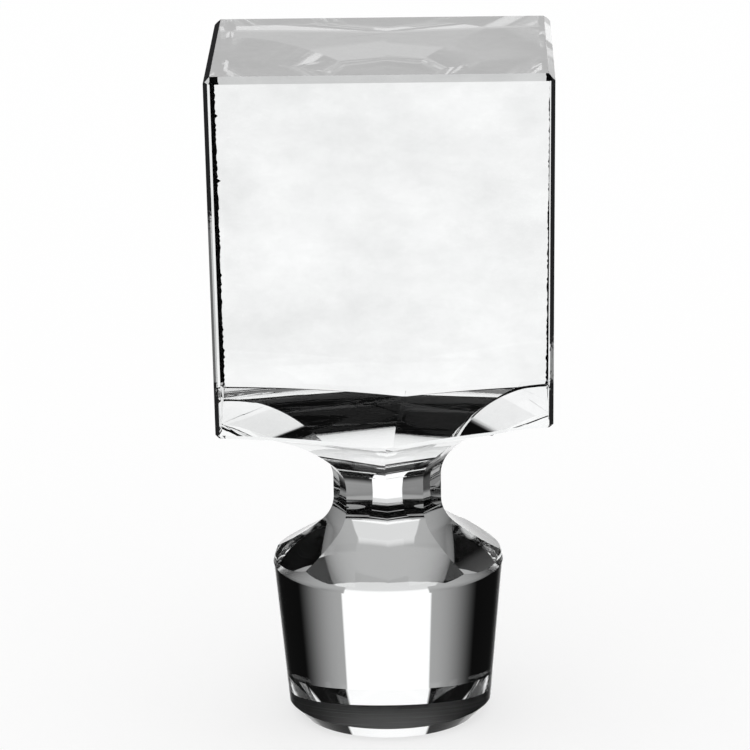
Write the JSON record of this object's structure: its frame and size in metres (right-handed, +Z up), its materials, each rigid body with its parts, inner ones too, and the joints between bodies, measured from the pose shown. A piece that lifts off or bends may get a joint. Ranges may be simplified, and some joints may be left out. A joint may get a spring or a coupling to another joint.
{
  "type": "glass stopper",
  "caption": "Clear cut-glass stopper: a tall bevelled block head on a hollow-cut, ridged neck and shoulder, above a round ground taper plug that closes a decanter or bottle.",
  "frame": {"origin": "Centre of the flat base of the plug, on the axis of its ground taper.", "axes": "+Z runs up the axis from the plug to the head. +X is to the right across the width of the head, and -Y faces the viewer of its broad front."},
  "size_m": [0.045, 0.0344, 0.0922],
  "materials": {
    "clear_glass": "clear colourless glass, wheel-cut and polished, with a smooth ground taper"
  },
  "bodies": {
    "root": {"stopper": "clear_glass"}
  },
  "joints": []
}
